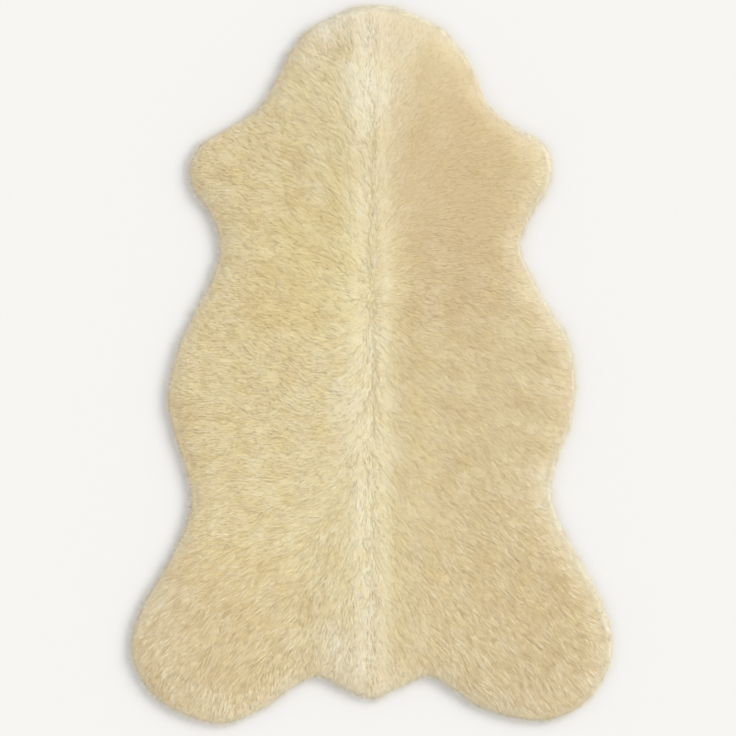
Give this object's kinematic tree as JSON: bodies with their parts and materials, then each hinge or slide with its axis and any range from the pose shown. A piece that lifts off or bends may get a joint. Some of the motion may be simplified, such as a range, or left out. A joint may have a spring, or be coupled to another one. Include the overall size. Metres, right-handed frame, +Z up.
{
  "type": "sheepskin rug",
  "caption": "Sheepskin rug: one pelt with neck, legs and tail in its outline, laid flat with the wool side up.",
  "frame": {"origin": "on the floor, under the middle of the rug's bounding box", "axes": "+Z up out of the wool; +Y along the spine towards the neck; +X towards the right flank seen from above"},
  "size_m": [0.668, 1, 0.0298],
  "materials": {
    "wool": "clipped natural wool, cream to honey, matt"
  },
  "bodies": {
    "root": {"sheepskin": "wool"}
  },
  "joints": []
}
